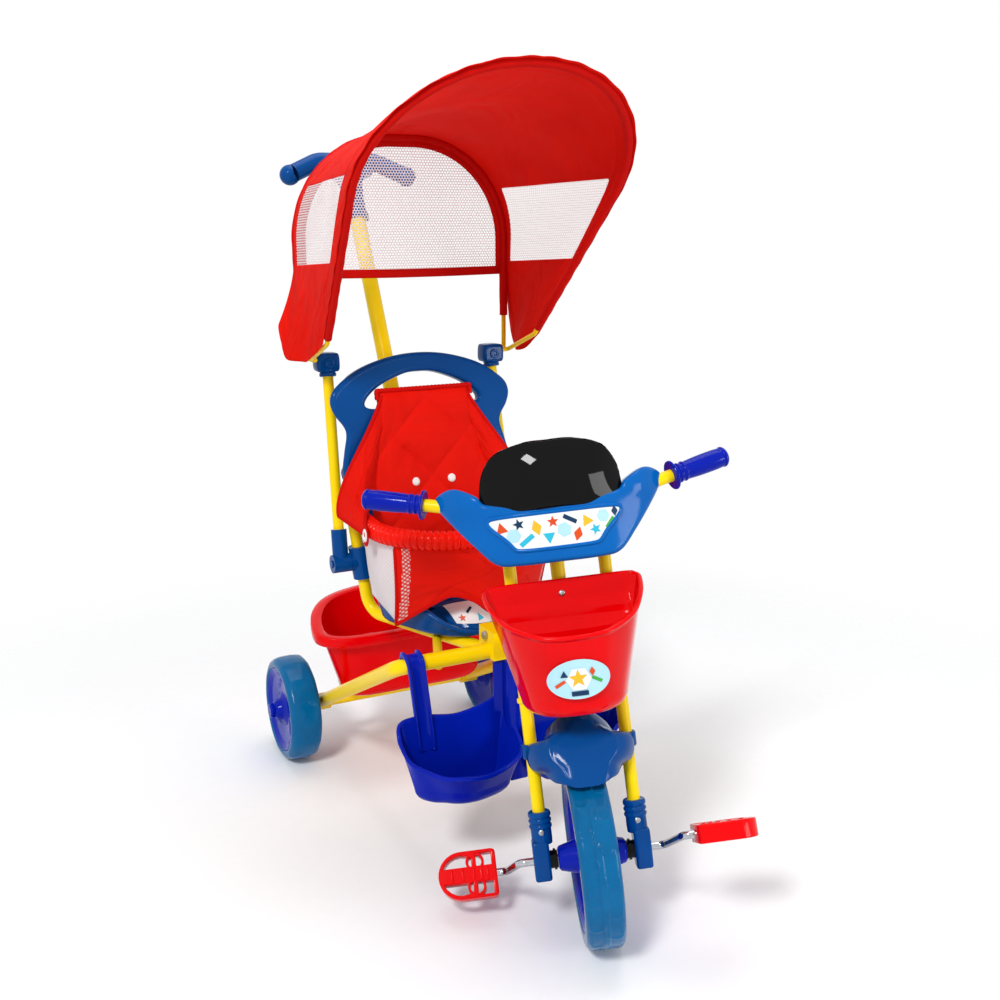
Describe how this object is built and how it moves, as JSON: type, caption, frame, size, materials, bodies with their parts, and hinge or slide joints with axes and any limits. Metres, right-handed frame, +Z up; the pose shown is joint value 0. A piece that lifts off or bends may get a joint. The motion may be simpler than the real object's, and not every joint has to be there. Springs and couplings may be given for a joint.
{
  "type": "push-along tricycle",
  "caption": "Toddler push-along trike with steered front wheel, pedals, padded seat, guard bar, basket, rear tub, foot trays, parent push bar and folding sun canopy.",
  "frame": {"origin": "on the ground, on the middle line, midway between the front and rear axle lines", "axes": "+Z up, -Y the way the trike rolls forward, -X the rider's right side"},
  "size_m": [0.455, 0.9953, 1.0702],
  "materials": {
    "tyre_blue": "semi-gloss moulded blue tyre",
    "royal_blue_plastic": "gloss royal blue moulding",
    "navy_plastic": "gloss navy blue moulding",
    "red_plastic": "gloss red moulding",
    "black_plastic": "gloss black moulding",
    "yellow_paint": "gloss yellow powder coat on steel tube",
    "chrome_rod": "bright plated rod",
    "zinc_screw": "zinc-plated fastener",
    "red_cloth": "red woven polyester",
    "white_net": "white knitted net",
    "red_foam": "ribbed soft red sleeve"
  },
  "bodies": {
    "frame": {"base_tube": "yellow_paint", "axle_tube": "yellow_paint", "rear_axle": "chrome_rod", "rear_cap_right": "royal_blue_plastic", "rear_cap_left": "royal_blue_plastic", "seat_tube_right": "yellow_paint", "seat_tube_left": "yellow_paint", "frame_struts": "yellow_paint", "front_frame": "yellow_paint", "frame_bolt": "zinc_screw", "push_socket": "yellow_paint", "seat_pan": "navy_plastic", "backrest": "navy_plastic", "cover_back": "red_cloth", "cover_wing_right": "red_cloth", "cover_wing_left": "red_cloth", "cover_front": "red_cloth", "guard_bar": "yellow_paint", "guard_sleeve": "red_foam", "rear_tub": "red_plastic", "footrest": "royal_blue_plastic", "foot_bolt": "zinc_screw", "push_bar": "yellow_paint", "push_handle": "navy_plastic", "side_clamp_right": "navy_plastic", "side_clamp_left": "navy_plastic"},
    "steered_fork": {"fork_leg_right": "yellow_paint", "fork_leg_left": "yellow_paint", "fork_crowns": "yellow_paint", "steering_stem": "yellow_paint", "fork_end_right": "navy_plastic", "fork_end_left": "navy_plastic", "fork_screws": "zinc_screw", "hub_spacers": "black_plastic", "handlebar": "yellow_paint", "grip_right": "royal_blue_plastic", "grip_left": "royal_blue_plastic", "fairing": "navy_plastic", "windscreen": "black_plastic", "front_basket": "red_plastic", "basket_screw": "zinc_screw", "mudguard": "navy_plastic"},
    "front_wheel": {"front_tyre": "tyre_blue", "front_rim": "royal_blue_plastic", "crank": "chrome_rod"},
    "right_pedal": {"pedal_right": "red_plastic"},
    "left_pedal": {"pedal_left": "red_plastic"},
    "right_wheel": {"rear_tyre_right": "tyre_blue", "rear_rim_right": "royal_blue_plastic"},
    "left_wheel": {"rear_tyre_left": "tyre_blue", "rear_rim_left": "royal_blue_plastic"},
    "canopy_frame": {"canopy_posts": "yellow_paint", "post_knuckles": "navy_plastic", "bow_clamps": "navy_plastic", "rear_bow": "yellow_paint", "rear_window": "white_net", "canopy_roof": "red_cloth", "canopy_windows": "white_net", "canopy_flaps": "red_cloth"},
    "canopy_front": {"front_bow": "yellow_paint"}
  },
  "joints": [
    {"name": "steering", "type": "hinge", "parent": "frame", "child": "steered_fork", "pos_m": [0, -0.27275, 0.35013], "axis": [0, 0.2571, 0.9664], "range_deg": [-1.4, 48.6]},
    {"name": "front_wheel_spin", "type": "hinge", "parent": "steered_fork", "child": "front_wheel", "pos_m": [0, -0.336, 0.1124], "axis": [0.9164, -0.3869, 0.1029], "continuous": true},
    {"name": "right_pedal_spin", "type": "hinge", "parent": "front_wheel", "child": "right_pedal", "pos_m": [-0.12413, -0.22863, 0.05689], "axis": [0.9164, -0.3869, 0.1029], "continuous": true},
    {"name": "left_pedal_spin", "type": "hinge", "parent": "front_wheel", "child": "left_pedal", "pos_m": [0.12413, -0.44337, 0.1679], "axis": [0.9164, -0.3869, 0.1029], "continuous": true},
    {"name": "right_wheel_spin", "type": "hinge", "parent": "frame", "child": "right_wheel", "pos_m": [-0.186, 0.336, 0.0875], "axis": [1, 0, 0], "continuous": true},
    {"name": "left_wheel_spin", "type": "hinge", "parent": "frame", "child": "left_wheel", "pos_m": [0.186, 0.336, 0.0875], "axis": [1, 0, 0], "continuous": true},
    {"name": "canopy_tilt", "type": "hinge", "parent": "frame", "child": "canopy_frame", "pos_m": [0, 0.171, 0.378], "axis": [1, 0, 0], "range_deg": [-12, 4]},
    {"name": "canopy_fold", "type": "hinge", "parent": "canopy_frame", "child": "canopy_front", "pos_m": [0, 0.22131, 0.683], "axis": [1, 0, 0], "range_deg": [-38, 0], "deforming": ["canopy_roof", "canopy_windows", "canopy_flaps"]}
  ]
}
